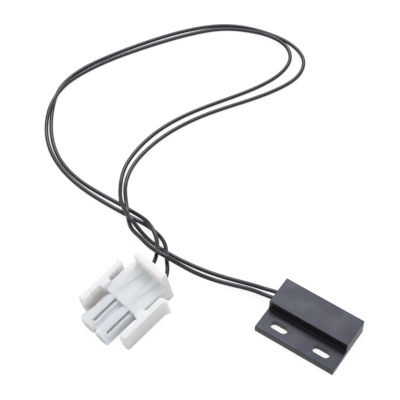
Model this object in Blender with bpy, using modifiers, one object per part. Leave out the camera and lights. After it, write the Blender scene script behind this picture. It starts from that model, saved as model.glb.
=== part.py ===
"""Flange mount interlock switch.

A reed switch is potted into a small moulded housing with a slotted flange.
Two loose insulated leads run from it to a white two way plug with crimped contacts.
Metres, +Z up. Origin: centre of the housing's underside. +X runs along the housing,
away from the leads, and +Y points from the flange to the raised block.
"""
import math

import bmesh
import bpy
import numpy as np
from mathutils import Matrix, Vector

MM = 0.001

# Sensor housing
HOUSING_LENGTH = 28.57 * MM
HOUSING_WIDTH = 19.05 * MM
HOUSING_HEIGHT = 6.35 * MM
FLANGE_THICKNESS = 2.6 * MM
BLOCK_WIDTH = 10.76 * MM
BLOCK_DRAFT = 0.12 * MM
HOUSING_EDGE_RADIUS = 0.15 * MM
SLOT_SPACING = 15.4 * MM
SLOT_LENGTH = 6.2 * MM
SLOT_WIDTH = 3.0 * MM
SLOT_FROM_FRONT = 4.05 * MM
POCKET_WALL = 1.6 * MM
POCKET_FLOOR = 1.2 * MM
POCKET_ROOF = 1.2 * MM
POCKET_END_WALL = 2.0 * MM
POCKET_CORNER_RADIUS = 0.8 * MM
POTTING_GAP = 0.1 * MM
POTTING_RECESS = 0.25 * MM
POTTING_CLEARANCE = 0.12 * MM

# Reed switch
GLASS_LENGTH = 10.0 * MM
GLASS_RADIUS = 1.1 * MM
GLASS_WALL = 0.3 * MM
SEAL_LENGTH = 1.6 * MM
GLASS_END_ROUND = 0.5 * MM
REED_SIDE_OFFSET = 1.67 * MM
REED_LEAD_RADIUS = 0.275 * MM
REED_LEAD_CLEARANCE = 0.08 * MM
REED_LEAD_NEAR = 3.2 * MM
REED_LEAD_FAR = 4.2 * MM
REED_LEAD_INNER = 0.9 * MM
LEAD_BEND_START = 0.3 * MM
LEAD_BEND_LENGTH = 2.1 * MM
BLADE_THICKNESS = 0.2 * MM
BLADE_WIDTH = 1.2 * MM
BLADE_SHOULDER = 0.9 * MM
CONTACT_GAP = 0.1 * MM
CONTACT_OVERLAP = 0.8 * MM

# Leads
INSULATION_RADIUS = 0.7 * MM
STRAND_RADIUS = 0.3 * MM
STRAND_CLEARANCE = 0.08 * MM
CONDUCTOR_PITCH = 0.95 * MM
LEAD_B_OFFSET = -1.78 * MM
LEAD_A_STRIP_GAP = 0.7 * MM
LEAD_B_STRIP_GAP = 1.1 * MM
STRAND_END_GAP = 0.1 * MM
SOLDER_LENGTH = 1.6 * MM
SOLDER_WALL = 0.3 * MM
SOLDER_EDGE_RADIUS = 0.2 * MM
SOLDER_NEAR_MARGIN = 0.4 * MM
HOLE_CLEARANCE = 0.55 * MM
HOLE_DEPTH = 1.2 * MM
CRIMP_LEAD_IN = 0.8 * MM
ROUTE_SAMPLES = 80

# Plug housing
PLUG_X = -48.97 * MM
PLUG_Y = -13.5 * MM
PLUG_YAW = math.radians(-11.6)
FLANGE_WIDTH = 12.9 * MM
FLANGE_HEIGHT = 16.4 * MM
FLANGE_DEPTH = 2.75 * MM
FLANGE_EDGE_RADIUS = 0.5 * MM
BODY_WIDTH = 15.2 * MM
BODY_HEIGHT = 6.4 * MM
BODY_FRONT = 15.4 * MM
BODY_EDGE_RADIUS = 0.4 * MM
CIRCUIT_PITCH = 6.35 * MM
SILO_RADIUS = 3.0 * MM
SILO_FRONT = 27.6 * MM
SILO_CHAMFER = 0.35 * MM
SILO_WEB_HEIGHT = 2.6 * MM
SILO_WEB_SETBACK = 1.0 * MM
GROOVE_OFFSET = 1.25 * MM
GROOVE_WIDTH = 1.0 * MM
GROOVE_DEPTH = 1.0 * MM
GROOVE_REAR_GAP = 0.15 * MM
GROOVE_FRONT = 25.4 * MM
KEY_RIB_REACH = 7.1 * MM
KEY_RIB_HEIGHT = 2.0 * MM
KEY_RIB_TAPER = 6.0 * MM
KEY_RIB_PEAK_SETBACK = 0.8 * MM
KEY_RIB_END_SETBACK = 0.5 * MM
RIDGE_RADIUS = 1.5 * MM
RIDGE_RISE = 1.0 * MM
RIDGE_LENGTH = 8.3 * MM
REAR_BORE_RADIUS = 2.15 * MM
REAR_BORE_CHAMFER = 0.4 * MM
SHOULDER_RADIUS = 1.65 * MM
SHOULDER_REAR = 13.6 * MM
SHOULDER_RAMP = 0.5 * MM
SHOULDER_FRONT = 14.7 * MM
FRONT_BORE_RADIUS = 1.95 * MM
FRONT_WALL = 1.3 * MM
ENTRY_RADIUS = 1.5 * MM
OVERLAP = 0.3 * MM
CUTTER_MARGIN = 1.0 * MM

# Latch arms of the plug
ARM_OUTER = 10.7 * MM
ARM_THICKNESS = 1.9 * MM
ARM_HEIGHT = 8.6 * MM
ARM_FRONT = 23.9 * MM
ARM_REAR = 5.6 * MM
ARM_REAR_WIDTH = 1.9 * MM
ARM_BARB = 0.85 * MM
ARM_BARB_LENGTH = 1.9 * MM
ARM_HOOK = 0.2 * MM
ARM_HOOK_LENGTH = 3.6 * MM
ARM_ROOT_REAR = 12.5 * MM
ARM_ROOT_FRONT = 15.9 * MM
ARM_ROOT_FILLET = 0.5 * MM
ARM_TIP_RADIUS = 0.9 * MM
ARM_TIP_CHAMFER = 0.5 * MM
ARM_END_RADIUS = 1.2 * MM
ARM_EDGE_RADIUS = 0.25 * MM

# Crimp contacts
CONTACT_BARREL_RADIUS = 1.35 * MM
CONTACT_BARREL_BORE = 1.02 * MM
CONTACT_BARREL_LENGTH = 12.0 * MM
CONTACT_FRONT_GAP = 0.3 * MM
CONTACT_NECK_RADIUS = 0.72 * MM
CONTACT_NECK_LENGTH = 1.4 * MM
NECK_SLOPE = 0.3 * MM
CORE_CRIMP_RADIUS = 0.9 * MM
CORE_CRIMP_LENGTH = 3.6 * MM
CRIMP_WAIST_LENGTH = 0.7 * MM
CRIMP_SLOPE = 0.1 * MM
STRAND_PAST_CRIMP = 0.4 * MM
SHEATH_CRIMP_WALL = 0.45 * MM
SHEATH_CRIMP_LENGTH = 3.2 * MM
SHEATH_CRIMP_CLEARANCE = 0.1 * MM
BARREL_SLIT_WIDTH = 0.25 * MM
BARREL_SLIT_LENGTH = 8.0 * MM
LANCE_REACH = 1.85 * MM
LANCE_LENGTH = 2.8 * MM
LANCE_WIDTH = 0.9 * MM
LANCE_THICKNESS = 0.25 * MM
LANCE_GAP = 0.3 * MM
LANCE_FOOT_DEPTH = 0.1 * MM
LANCE_FOOT_LENGTH = 1.0 * MM

# Free stretch of each lead, from the sensor to the plug
LEAD_A_ROUTE = [
    (-18.0, 4.2, 2.9), (-23.5, 3.4, 1.9), (-30.3, 2.0, 1.0), (-39.6, 0.0, 0.7),
    (-48.8, -1.0, 0.7), (-56.9, -1.0, 0.7), (-62.1, -0.5, 1.2), (-65.7, 0.0, 2.8),
    (-69.4, 0.9, 4.4), (-73.2, 2.7, 4.1), (-77.9, 6.1, 3.0), (-82.0, 11.0, 1.4),
    (-86.3, 19.2, 0.7), (-87.6, 27.5, 0.7), (-86.3, 40.6, 0.7), (-80.9, 54.7, 0.7),
    (-72.9, 68.8, 0.7), (-66.9, 80.9, 0.7), (-65.0, 89.6, 0.7), (-66.4, 96.2, 0.7),
    (-70.6, 100.0, 0.9), (-77.1, 100.5, 1.6), (-85.3, 99.3, 0.9), (-94.5, 94.8, 0.7),
    (-103.9, 85.1, 0.7), (-115.1, 68.3, 0.7), (-123.6, 51.7, 0.7), (-126.3, 41.4, 1.3),
    (-125.8, 32.6, 2.5), (-123.8, 25.0, 2.1), (-119.5, 17.7, 0.8), (-110.1, 9.7, 0.7),
    (-96.7, 4.9, 0.7), (-81.1, 3.7, 0.7), (-70.8, 3.9, 0.7), (-64.5, 3.9, 0.7),
    (-59.5, 2.5, 1.5), (-54.9, -0.6, 3.2), (-51.3, -5.0, 4.3), (-48.0, -9.2, 5.5),
]
LEAD_B_ROUTE = [
    (-17.8, 2.0, 2.9), (-23.1, 1.6, 1.9), (-29.1, 0.1, 1.3), (-35.5, -2.0, 1.7),
    (-42.0, -3.9, 3.3), (-47.6, -5.3, 5.7), (-52.3, -5.8, 6.7), (-57.8, -5.2, 6.0),
    (-63.3, -3.2, 4.6), (-68.8, -0.8, 3.0), (-72.9, 3.0, 2.4), (-77.0, 7.6, 2.1),
    (-80.7, 12.1, 1.2), (-84.0, 19.1, 0.7), (-84.9, 28.9, 0.7), (-82.4, 42.5, 0.7),
    (-75.9, 57.0, 0.7), (-67.5, 70.3, 0.7), (-61.2, 82.1, 0.7), (-59.2, 90.7, 0.7),
    (-61.7, 97.9, 0.7), (-68.6, 101.8, 0.7), (-78.1, 102.2, 0.7), (-94.5, 96.9, 0.7),
    (-104.0, 88.5, 0.7), (-114.4, 73.7, 0.7), (-123.2, 57.3, 0.7), (-127.4, 45.7, 0.7),
    (-127.7, 35.9, 0.7), (-123.6, 26.4, 0.7), (-117.5, 18.0, 0.7), (-108.1, 10.4, 0.7),
    (-96.6, 6.6, 0.7), (-82.7, 6.0, 0.7), (-71.8, 5.8, 1.0), (-64.7, 3.9, 2.7),
    (-59.8, 0.8, 3.1), (-56.5, -2.9, 4.0), (-54.2, -6.8, 5.2), (-52.9, -10.0, 6.4),
]

# Places that follow from the sizes
HOUSING_END = HOUSING_LENGTH / 2
BLOCK_FRONT_Y = HOUSING_WIDTH / 2 - BLOCK_WIDTH
POCKET_LOW_Y = BLOCK_FRONT_Y + POCKET_WALL
POCKET_HIGH_Y = HOUSING_WIDTH / 2 - POCKET_WALL
POCKET_HIGH_Z = HOUSING_HEIGHT - POCKET_ROOF
POCKET_END_X = HOUSING_END - POCKET_END_WALL
POCKET_Y = (POCKET_LOW_Y + POCKET_HIGH_Y) / 2
POCKET_Z = (POCKET_FLOOR + POCKET_HIGH_Z) / 2
REED_Y = POCKET_Y + REED_SIDE_OFFSET
LEAD_A_Y = REED_Y - CONDUCTOR_PITCH
LEAD_B_Y = POCKET_Y + LEAD_B_OFFSET
GLASS_END = GLASS_LENGTH / 2
SEAL_X = GLASS_END - SEAL_LENGTH / 2
NEAR_SOLDER_X = -GLASS_END - REED_LEAD_NEAR + SOLDER_NEAR_MARGIN + SOLDER_LENGTH / 2
FAR_SOLDER_X = GLASS_END + REED_LEAD_FAR - SOLDER_NEAR_MARGIN - SOLDER_LENGTH / 2
LEAD_A_STRIP_X = -GLASS_END - REED_LEAD_NEAR - LEAD_A_STRIP_GAP
LEAD_B_STRIP_X = FAR_SOLDER_X - SOLDER_LENGTH / 2 - LEAD_B_STRIP_GAP
CONTACT_X = CIRCUIT_PITCH / 2
CONTACT_FRONT = SILO_FRONT - FRONT_WALL - CONTACT_FRONT_GAP
BARREL_REAR = CONTACT_FRONT - CONTACT_BARREL_LENGTH
CORE_CRIMP_FRONT = BARREL_REAR - CONTACT_NECK_LENGTH
CORE_CRIMP_REAR = CORE_CRIMP_FRONT - CORE_CRIMP_LENGTH
SHEATH_CRIMP_FRONT = CORE_CRIMP_REAR - CRIMP_WAIST_LENGTH
SHEATH_CRIMP_REAR = SHEATH_CRIMP_FRONT - SHEATH_CRIMP_LENGTH
FLANGE_FOOT_DEPTH = FLANGE_DEPTH - FLANGE_EDGE_RADIUS
FLANGE_FOOT_DROP = FLANGE_HEIGHT / 2 - FLANGE_EDGE_RADIUS
REST_RUN = ARM_FRONT - ARM_END_RADIUS - FLANGE_FOOT_DEPTH
REST_RISE = FLANGE_FOOT_DROP - (ARM_HEIGHT / 2 - ARM_END_RADIUS)
REST_ROUND = ARM_END_RADIUS - FLANGE_EDGE_RADIUS
REST_TURN = math.asin(REST_ROUND / math.hypot(REST_RUN, REST_RISE))
PLUG_PITCH = math.atan2(REST_RISE, REST_RUN) - REST_TURN
PLUG_DROP = FLANGE_FOOT_DEPTH * math.sin(PLUG_PITCH) + FLANGE_FOOT_DROP * math.cos(PLUG_PITCH)
PLUG_Z = PLUG_DROP + FLANGE_EDGE_RADIUS
PLUG_MATRIX = (
    Matrix.Translation((PLUG_X, PLUG_Y, PLUG_Z))
    @ Matrix.Rotation(PLUG_YAW, 4, "Z")
    @ Matrix.Rotation(PLUG_PITCH, 4, "X")
)
ALONG_X = Matrix.Rotation(math.radians(90), 4, "Y")
ALONG_Y = Matrix.Rotation(math.radians(-90), 4, "X")
SIDE_VIEW = Matrix(((0, 0, 1, 0), (1, 0, 0, 0), (0, 1, 0, 0), (0, 0, 0, 1)))


def clear_scene():
    """Remove every object that is already in the file."""
    for item in list(bpy.data.objects):
        bpy.data.objects.remove(item, do_unlink=True)


def new_collection(name):
    """Make a collection under the scene and return it."""
    collection = bpy.data.collections.new(name)
    bpy.context.scene.collection.children.link(collection)
    return collection


def material(name, colour, roughness, metallic=0.0, alpha=1.0):
    """One Principled material with a plain colour."""
    made = bpy.data.materials.new(name)
    made.use_nodes = True
    shader = made.node_tree.nodes["Principled BSDF"]
    shader.inputs["Base Color"].default_value = (*colour, 1.0)
    shader.inputs["Roughness"].default_value = roughness
    shader.inputs["Metallic"].default_value = metallic
    shader.inputs["Alpha"].default_value = alpha
    made.diffuse_color = (*colour, alpha)
    return made


clear_scene()
PART = new_collection("interlock_switch")
CUTTERS = new_collection("interlock_switch_cutters")
BLACK_SHELL = material("moulded_black_pbt", (0.030, 0.029, 0.034), 0.45)
BLACK_RESIN = material("potting_resin", (0.012, 0.012, 0.013), 0.25)
LEAD_SHEATH = material("lead_insulation", (0.035, 0.032, 0.038), 0.40)
REED_GLASS = material("reed_glass", (0.60, 0.78, 0.66), 0.05, 0.0, 0.35)
REED_METAL = material("nickel_iron", (0.62, 0.60, 0.55), 0.30, 1.0)
SOLDER = material("solder", (0.70, 0.70, 0.72), 0.30, 1.0)
COPPER = material("tinned_copper", (0.72, 0.66, 0.58), 0.35, 1.0)
NYLON = material("natural_nylon", (0.74, 0.77, 0.80), 0.40)
CONTACT_METAL = material("tinned_brass", (0.78, 0.74, 0.62), 0.30, 1.0)


def weld(mesh, distance=1e-7):
    """Merge loose caps into the walls and point every face outwards."""
    working = bmesh.new()
    working.from_mesh(mesh)
    bmesh.ops.remove_doubles(working, verts=working.verts, dist=distance)
    bmesh.ops.recalc_face_normals(working, faces=working.faces)
    working.to_mesh(mesh)
    working.free()


def place(name, mesh, finish=None, parent=None):
    """Link a mesh as a part of the switch, or as a cutter where it has no finish."""
    made = bpy.data.objects.new(name, mesh)
    if finish is None:
        CUTTERS.objects.link(made)
        made.hide_render = True
        made.display_type = "WIRE"
    else:
        PART.objects.link(made)
        mesh.materials.append(finish)
    made.parent = parent
    return made


def box_mesh(low, high):
    """A box between two corners."""
    mesh = bpy.data.meshes.new("box")
    low, high = Vector(low), Vector(high)
    working = bmesh.new()
    bmesh.ops.create_cube(working, size=1.0)
    bmesh.ops.scale(working, vec=high - low, verts=working.verts)
    bmesh.ops.translate(working, vec=(low + high) / 2, verts=working.verts)
    working.to_mesh(mesh)
    working.free()
    return mesh


def mesh_from_curve(curve, matrix):
    """Turn a curve into a closed mesh and set it in place."""
    scratch = bpy.data.objects.new("scratch_curve", curve)
    bpy.context.scene.collection.objects.link(scratch)
    depsgraph = bpy.context.evaluated_depsgraph_get()
    mesh = bpy.data.meshes.new_from_object(scratch.evaluated_get(depsgraph))
    bpy.data.objects.remove(scratch)
    bpy.data.curves.remove(curve)
    mesh.transform(matrix)
    weld(mesh)
    return mesh


def extruded(outline, thickness, matrix=Matrix.Identity(4)):
    """A flat outline, thickened evenly to both sides of its own plane."""
    curve = bpy.data.curves.new("outline", "CURVE")
    curve.dimensions = "2D"
    curve.fill_mode = "BOTH"
    curve.extrude = thickness / 2
    spline = curve.splines.new("POLY")
    spline.points.add(len(outline) - 1)
    for point, (across, up) in zip(spline.points, outline):
        point.co = (across, up, 0.0, 1.0)
    spline.use_cyclic_u = True
    return mesh_from_curve(curve, matrix)


def tube_curve(name, points, radius, resolution=2):
    """A round tube along straight steps between points, with filled ends."""
    curve = bpy.data.curves.new(name, "CURVE")
    curve.dimensions = "3D"
    curve.bevel_depth = radius
    curve.bevel_resolution = resolution
    curve.use_fill_caps = True
    spline = curve.splines.new("POLY")
    spline.points.add(len(points) - 1)
    for point, place_at in zip(spline.points, points):
        point.co = (*place_at, 1.0)
    return curve


def tube_mesh(points, radius, resolution=3):
    """A tube as a closed mesh."""
    return mesh_from_curve(tube_curve("tube", points, radius, resolution), Matrix.Identity(4))


def turned(name, profile, matrix, finish=None, parent=None, closed=False, steps=24):
    """Turn a profile of (radius, height) pairs about Z, then lay it along its own axis."""
    mesh = bpy.data.meshes.new(name)
    working = bmesh.new()
    ring = [working.verts.new((radius, 0.0, height)) for radius, height in profile]
    for first, second in zip(ring, ring[1:]):
        working.edges.new((first, second))
    if closed:
        working.edges.new((ring[-1], ring[0]))
    working.to_mesh(mesh)
    working.free()
    made = place(name, mesh, finish, parent)
    made.matrix_basis = matrix
    screw = made.modifiers.new("Turn", "SCREW")
    screw.steps = steps
    screw.render_steps = steps
    screw.use_merge_vertices = True
    screw.merge_threshold = 1e-6
    return made


def bevel(item, width, segments=2):
    """Round the edges that are sharper than a shallow crease."""
    rounding = item.modifiers.new("Edges", "BEVEL")
    rounding.width = width
    rounding.segments = segments
    rounding.limit_method = "ANGLE"
    rounding.angle_limit = math.radians(35)
    rounding.use_clamp_overlap = True


def combine(item, other, operation):
    """Join another shape to an item, or cut it away."""
    step = item.modifiers.new(operation.title(), "BOOLEAN")
    step.operation = operation
    step.solver = "EXACT"
    step.object = other


def shade_round(item):
    """Smooth shading with crisp edges."""
    item.data.shade_smooth()
    item.data.set_sharp_from_angle(angle=math.radians(35))


def arc(centre, radius, start, end, steps=5):
    """Points along an arc, with its angles in degrees."""
    angles = [math.radians(start + (end - start) * k / steps) for k in range(steps + 1)]
    return [(centre[0] + radius * math.cos(a), centre[1] + radius * math.sin(a)) for a in angles]


def rounded_rectangle(low, high, radius):
    """A rectangle with round corners, between two corners."""
    return (
        arc((high[0] - radius, high[1] - radius), radius, 0, 90, 3)
        + arc((low[0] + radius, high[1] - radius), radius, 90, 180, 3)
        + arc((low[0] + radius, low[1] + radius), radius, 180, 270, 3)
        + arc((high[0] - radius, low[1] + radius), radius, 270, 360, 3)
    )


def round_ended_slot(centre, length, width, steps=8):
    """A slot outline along the first direction."""
    reach = (length - width) / 2
    right = (centre[0] + reach, centre[1])
    left = (centre[0] - reach, centre[1])
    return arc(right, width / 2, -90, 90, steps) + arc(left, width / 2, 90, 270, steps)


def smooth_route(points, samples):
    """Even samples of the natural cubic spline through a list of points."""
    places = np.array(points, dtype=float)
    spans = np.linalg.norm(np.diff(places, axis=0), axis=1)
    stations = np.concatenate(([0.0], np.cumsum(spans)))
    count = len(places)
    system = np.eye(count)
    bend = np.zeros((count, 3))
    for k in range(1, count - 1):
        system[k, k - 1: k + 2] = (spans[k - 1], 2 * (spans[k - 1] + spans[k]), spans[k])
        slope_after = (places[k + 1] - places[k]) / spans[k]
        slope_before = (places[k] - places[k - 1]) / spans[k - 1]
        bend[k] = 6 * (slope_after - slope_before)
    curvature = np.linalg.solve(system, bend)
    route = []
    for station in np.linspace(0.0, stations[-1], samples):
        k = min(int(np.searchsorted(stations, station, side="right")) - 1, count - 2)
        span = spans[k]
        left = stations[k + 1] - station
        right = station - stations[k]
        point = (curvature[k] * left**3 + curvature[k + 1] * right**3) / (6 * span)
        point += (places[k] / span - curvature[k] * span / 6) * left
        point += (places[k + 1] / span - curvature[k + 1] * span / 6) * right
        route.append(Vector(point))
    return route


def plug_point(right, forward, up=0.0):
    """A place in the plug's own directions, as a place in the part."""
    return PLUG_MATRIX @ Vector((right, -forward, up))


def lead_route(strip_x, exit_y, free_points, contact_x):
    """A lead from its strip end in the sensor to its strip end in the plug, never below the floor."""
    inside = [(strip_x, exit_y, POCKET_Z), (-HOUSING_END, exit_y, POCKET_Z)]
    if strip_x > 0:
        inside.insert(1, ((strip_x - HOUSING_END) / 2, exit_y, POCKET_Z))
    free = [Vector(point) * MM for point in free_points]
    droop = REAR_BORE_RADIUS - INSULATION_RADIUS - HOLE_CLEARANCE
    in_hole = plug_point(contact_x, HOLE_DEPTH, -droop)
    at_crimp = plug_point(contact_x, SHEATH_CRIMP_REAR - CRIMP_LEAD_IN)
    in_crimp = plug_point(contact_x, SHEATH_CRIMP_REAR)
    strip = plug_point(contact_x, SHEATH_CRIMP_FRONT)
    ends = [in_hole, at_crimp, in_crimp, strip]
    route = smooth_route(inside + free + ends, ROUTE_SAMPLES)
    for point in route:
        point.z = max(point.z, INSULATION_RADIUS)
    return route


LEAD_A_POINTS = lead_route(LEAD_A_STRIP_X, LEAD_A_Y, LEAD_A_ROUTE, CONTACT_X)
LEAD_B_POINTS = lead_route(LEAD_B_STRIP_X, LEAD_B_Y, LEAD_B_ROUTE, -CONTACT_X)


def make_housing():
    """Moulded shell: a slotted flange in front and a potting pocket in the block behind."""
    half = HOUSING_WIDTH / 2
    section = [
        (-half, 0.0),
        (half, 0.0),
        (half - BLOCK_DRAFT, HOUSING_HEIGHT),
        (BLOCK_FRONT_Y + BLOCK_DRAFT, HOUSING_HEIGHT),
        (BLOCK_FRONT_Y, FLANGE_THICKNESS),
        (-half, FLANGE_THICKNESS),
    ]
    housing = place("housing", extruded(section, HOUSING_LENGTH, SIDE_VIEW), BLACK_SHELL)
    bevel(housing, HOUSING_EDGE_RADIUS)
    slot_y = -half + SLOT_FROM_FRONT
    for side in (-1, 1):
        outline = round_ended_slot((side * SLOT_SPACING / 2, slot_y), SLOT_LENGTH, SLOT_WIDTH)
        lift = Matrix.Translation((0, 0, FLANGE_THICKNESS / 2))
        slot = place("slot_cutter", extruded(outline, 2 * FLANGE_THICKNESS, lift))
        combine(housing, slot, "DIFFERENCE")
    pocket_outline = rounded_rectangle(
        (POCKET_LOW_Y, POCKET_FLOOR), (POCKET_HIGH_Y, POCKET_HIGH_Z), POCKET_CORNER_RADIUS
    )
    depth = POCKET_END_X + HOUSING_END + 2 * OVERLAP
    middle = Matrix.Translation((POCKET_END_X - depth / 2, 0, 0))
    pocket = place("pocket_cutter", extruded(pocket_outline, depth, middle @ SIDE_VIEW))
    combine(housing, pocket, "DIFFERENCE")
    shade_round(housing)
    return housing


def glass_profile(grow=0.0):
    """Outer profile of the glass tube with its round ends, from one end to the other."""
    reach = GLASS_END + grow
    radius = GLASS_RADIUS + grow
    end_round = GLASS_END_ROUND
    top = arc((radius - end_round, reach - end_round), end_round, 90, 0, 4)
    return top + [(across, -up) for across, up in reversed(top)]


def reed_axis(offset=0.0):
    """The reed switch's own axis, laid along X."""
    return Matrix.Translation((offset, REED_Y, POCKET_Z)) @ ALONG_X


def make_glass():
    """Glass tube with a solid seal at each end, bored for the leads."""
    bore = REED_LEAD_RADIUS + REED_LEAD_CLEARANCE
    cavity_end = GLASS_END - SEAL_LENGTH
    cavity_radius = GLASS_RADIUS - GLASS_WALL
    inner = [
        (bore, -GLASS_END),
        (bore, -cavity_end),
        (cavity_radius, -cavity_end + GLASS_END_ROUND),
        (cavity_radius, cavity_end - GLASS_END_ROUND),
        (bore, cavity_end),
        (bore, GLASS_END),
    ]
    glass = turned("reed_glass", glass_profile() + inner, reed_axis(), REED_GLASS, closed=True)
    shade_round(glass)
    return glass


def reed_lead_points(side):
    """Middle line of a reed's round lead. The far one swings over to the second wire."""
    inner = side * (GLASS_END - SEAL_LENGTH - REED_LEAD_INNER)
    if side < 0:
        return [(inner, REED_Y, POCKET_Z), (-GLASS_END - REED_LEAD_NEAR, REED_Y, POCKET_Z)]
    start = GLASS_END + LEAD_BEND_START
    drop = LEAD_B_Y + CONDUCTOR_PITCH - REED_Y
    points = [(inner, REED_Y, POCKET_Z)]
    steps = 12
    for k in range(steps + 1):
        part = k / steps
        ease = part * part * (3 - 2 * part)
        points.append((start + part * LEAD_BEND_LENGTH, REED_Y + drop * ease, POCKET_Z))
    points.append((GLASS_END + REED_LEAD_FAR, REED_Y + drop, POCKET_Z))
    return points


def make_reed(name, side):
    """One reed: a flat blade in the glass, on a round lead that runs out through the seal."""
    shift = CONTACT_GAP / 2 + BLADE_THICKNESS / 2
    root = -(GLASS_END - SEAL_LENGTH - OVERLAP)
    tip = CONTACT_OVERLAP / 2
    half = BLADE_WIDTH / 2
    narrow = REED_LEAD_RADIUS * 0.8
    outline = [
        (root, -narrow),
        (root + BLADE_SHOULDER, -half),
        (tip - half / 2, -half),
        (tip, -half / 2),
        (tip, half / 2),
        (tip - half / 2, half),
        (root + BLADE_SHOULDER, half),
        (root, narrow),
    ]
    upright = Matrix.Rotation(math.radians(90), 4, "X")
    turn = Matrix.Rotation(math.radians(0 if side < 0 else 180), 4, "Z")
    spot = Matrix.Translation((0, REED_Y, POCKET_Z)) @ turn @ Matrix.Translation((0, -shift, 0))
    blade_mesh = extruded(outline, BLADE_THICKNESS, spot @ upright)
    hinge = Vector((side * SEAL_X, REED_Y, POCKET_Z))
    blade_mesh.transform(Matrix.Translation(-hinge))
    reed = place(name, blade_mesh, REED_METAL)
    reed.location = hinge
    lead = place(name + "_lead", tube_mesh(reed_lead_points(side), REED_LEAD_RADIUS))
    combine(reed, lead, "UNION")
    shade_round(reed)
    return reed


def solder_outline(low_y, grow=0.0):
    """Figure round two conductors that lie side by side."""
    radius = STRAND_RADIUS + STRAND_CLEARANCE + SOLDER_WALL + grow
    middle = (low_y + CONDUCTOR_PITCH / 2, POCKET_Z)
    return round_ended_slot(middle, CONDUCTOR_PITCH + 2 * radius, 2 * radius)


def solder_place(side):
    """Middle of a solder joint along X."""
    return NEAR_SOLDER_X if side < 0 else FAR_SOLDER_X


def conductor_low_y(side):
    """Y of the lower of the two conductors that a solder joint holds."""
    return LEAD_A_Y if side < 0 else LEAD_B_Y


def make_solder(name, side):
    """Solder joint that holds a stripped wire beside a reed lead."""
    middle = Matrix.Translation((solder_place(side), 0, 0)) @ SIDE_VIEW
    low_y = conductor_low_y(side)
    joint = place(name, extruded(solder_outline(low_y), SOLDER_LENGTH, middle), SOLDER)
    bevel(joint, SOLDER_EDGE_RADIUS, 3)
    for bore_y in (low_y, low_y + CONDUCTOR_PITCH):
        reach = solder_place(side) + SOLDER_LENGTH
        start = solder_place(side) - SOLDER_LENGTH
        ends = [(start, bore_y, POCKET_Z), (reach, bore_y, POCKET_Z)]
        bore = place(name + "_bore", tube_mesh(ends, STRAND_RADIUS + STRAND_CLEARANCE))
        combine(joint, bore, "DIFFERENCE")
    shade_round(joint)
    return joint


def strand_ends(side):
    """Ends of the stripped conductor at the sensor."""
    if side < 0:
        start = LEAD_A_STRIP_X + STRAND_END_GAP
    else:
        start = LEAD_B_STRIP_X + STRAND_END_GAP
    end = solder_place(side) + SOLDER_LENGTH / 2 + STRAND_END_GAP
    low_y = conductor_low_y(side)
    return [(start, low_y, POCKET_Z), (end, low_y, POCKET_Z)]


def lengthened(points, before, after):
    """The same line, longer at each end."""
    places = [Vector(point) for point in points]
    first = places[0] + (places[0] - places[1]).normalized() * before
    last = places[-1] + (places[-1] - places[-2]).normalized() * after
    return [first] + places[1:-1] + [last]


def inside_stretch(points):
    """A lead's points from its strip end to the first one outside the housing."""
    outside = next(k for k, point in enumerate(points) if point.x < -HOUSING_END)
    return points[: outside + 1]


def make_potting():
    """Resin that fills the pocket round the reed switch and the lead ends."""
    low = (POCKET_LOW_Y + POTTING_GAP, POCKET_FLOOR + POTTING_GAP)
    high = (POCKET_HIGH_Y - POTTING_GAP, POCKET_HIGH_Z - POTTING_GAP)
    outline = rounded_rectangle(low, high, POCKET_CORNER_RADIUS - POTTING_GAP)
    start = -HOUSING_END + POTTING_RECESS
    end = POCKET_END_X - POTTING_GAP
    middle = Matrix.Translation(((start + end) / 2, 0, 0)) @ SIDE_VIEW
    potting = place("potting_resin", extruded(outline, end - start, middle), BLACK_RESIN)
    gap = POTTING_CLEARANCE
    for name, points in (("lead_a", LEAD_A_POINTS), ("lead_b", LEAD_B_POINTS)):
        stretch = lengthened(inside_stretch(points), 2 * gap, gap)
        tunnel = place(name + "_tunnel", tube_mesh(stretch, INSULATION_RADIUS + gap))
        combine(potting, tunnel, "DIFFERENCE")
    for side, name in ((-1, "near"), (1, "far")):
        strand = lengthened(strand_ends(side), 2 * gap, gap)
        strand_tunnel = place(name + "_strand_tunnel", tube_mesh(strand, STRAND_RADIUS + gap))
        combine(potting, strand_tunnel, "DIFFERENCE")
        spot = Matrix.Translation((solder_place(side), 0, 0)) @ SIDE_VIEW
        shape = extruded(solder_outline(conductor_low_y(side), gap), SOLDER_LENGTH + 2 * gap, spot)
        combine(potting, place(name + "_solder_room", shape), "DIFFERENCE")
        lead = lengthened(reed_lead_points(side), 0.0, 2 * gap)
        lead_tunnel = place(name + "_lead_tunnel", tube_mesh(lead, REED_LEAD_RADIUS + gap))
        combine(potting, lead_tunnel, "DIFFERENCE")
    ends = glass_profile(gap)
    profile = [(0.0, GLASS_END + gap)] + ends + [(0.0, -GLASS_END - gap)]
    combine(potting, turned("glass_room", profile, reed_axis()), "DIFFERENCE")
    return potting


def make_wire(name, points):
    """One insulated lead as a round tube."""
    wire = bpy.data.objects.new(name, tube_curve(name, points, INSULATION_RADIUS))
    wire.data.materials.append(LEAD_SHEATH)
    PART.objects.link(wire)
    return wire


def make_strands(name, points):
    """Stripped end of a conductor."""
    strands = place(name, tube_mesh(points, STRAND_RADIUS), COPPER)
    shade_round(strands)
    return strands


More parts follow.
